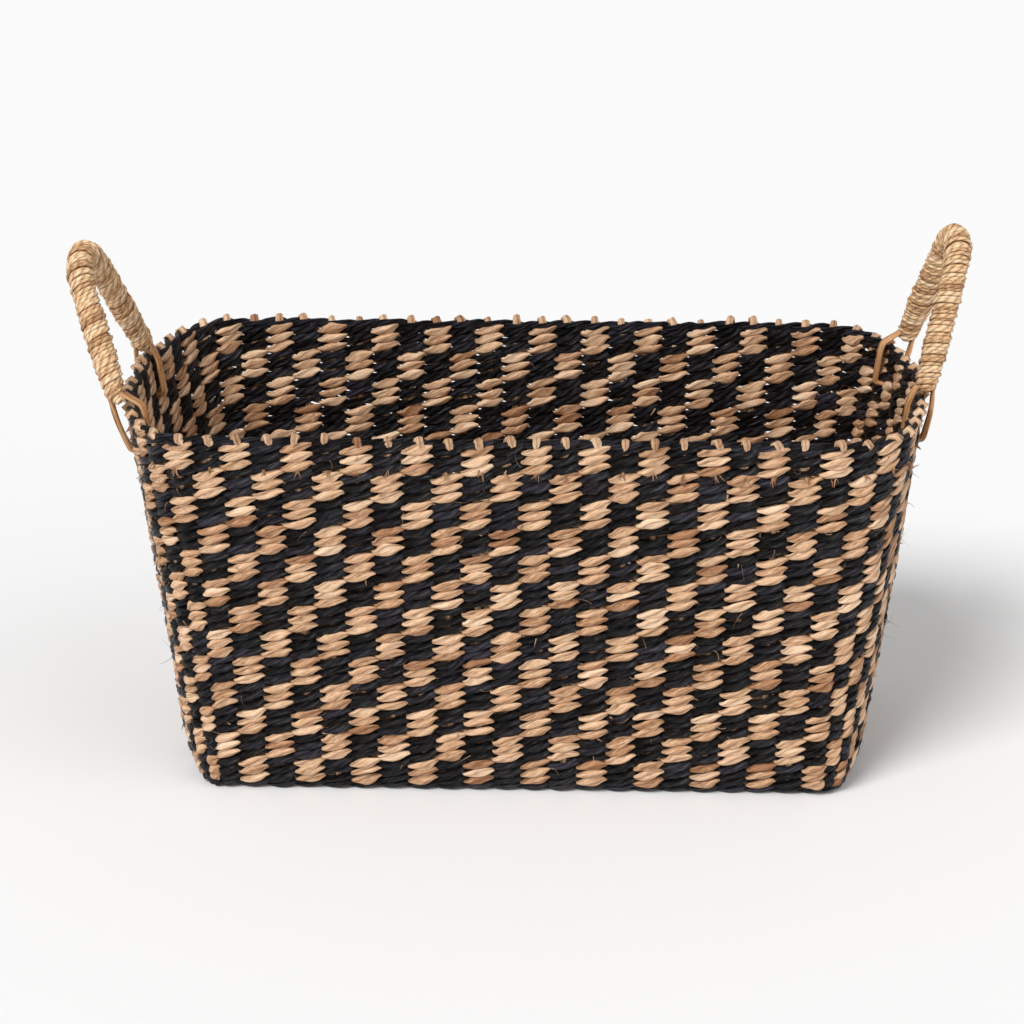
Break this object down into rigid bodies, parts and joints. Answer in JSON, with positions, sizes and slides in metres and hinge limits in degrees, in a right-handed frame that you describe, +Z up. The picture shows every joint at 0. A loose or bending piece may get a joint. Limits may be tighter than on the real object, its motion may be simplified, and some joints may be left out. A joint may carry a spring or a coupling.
{
  "type": "storage basket",
  "caption": "Rectangular two-tone woven seagrass storage basket with outward leaning walls and a wrapped upright handle tied to each end wall by cane lashings.",
  "frame": {"origin": "middle of the flat underside that the basket stands on", "axes": "+Z up, +X along the length towards the right-hand handle, +Y from the front wall to the back wall"},
  "size_m": [0.5796, 0.2704, 0.3641],
  "materials": {
    "seagrass_weave": "matte",
    "black_seagrass": "satin",
    "stake_seagrass": "matte",
    "base_weave": "matte",
    "handle_wrap": "matte",
    "handle_cane": "satin",
    "cane_lashing": "satin"
  },
  "bodies": {
    "basket": {"base_weave_lower": "base_weave", "base_weave_upper": "base_weave", "base_stakes": "stake_seagrass", "foot_border": "black_seagrass", "weft_course_01": "seagrass_weave", "weft_course_02": "seagrass_weave", "weft_course_03": "seagrass_weave", "weft_course_04": "seagrass_weave", "weft_course_05": "seagrass_weave", "weft_course_06": "seagrass_weave", "weft_course_07": "seagrass_weave", "weft_course_08": "seagrass_weave", "weft_course_09": "seagrass_weave", "weft_course_10": "seagrass_weave", "weft_course_11": "seagrass_weave", "weft_course_12": "seagrass_weave", "weft_course_13": "seagrass_weave", "rim_border": "black_seagrass", "stakes_front": "stake_seagrass", "stakes_back": "stake_seagrass", "stakes_left": "stake_seagrass", "stakes_right": "stake_seagrass", "left_front_lashing": "cane_lashing", "left_rear_lashing": "cane_lashing", "right_front_lashing": "cane_lashing", "right_rear_lashing": "cane_lashing"},
    "left_handle": {"left_handle_core": "handle_cane", "left_handle_grip_wrap": "handle_wrap", "left_handle_front_collar": "handle_wrap", "left_handle_rear_collar": "handle_wrap"},
    "right_handle": {"right_handle_core": "handle_cane", "right_handle_grip_wrap": "handle_wrap", "right_handle_front_collar": "handle_wrap", "right_handle_rear_collar": "handle_wrap"}
  },
  "joints": [
    {"name": "left_handle_tilt", "type": "hinge", "parent": "basket", "child": "left_handle", "pos_m": [-0.25978, -0.01872, 0.275], "axis": [0.0663, -0.9978, 0], "range_deg": [-22, 24]},
    {"name": "right_handle_tilt", "type": "hinge", "parent": "basket", "child": "right_handle", "pos_m": [0.25978, 0.01872, 0.275], "axis": [-0.0663, 0.9978, 0], "range_deg": [-22, 24]}
  ]
}
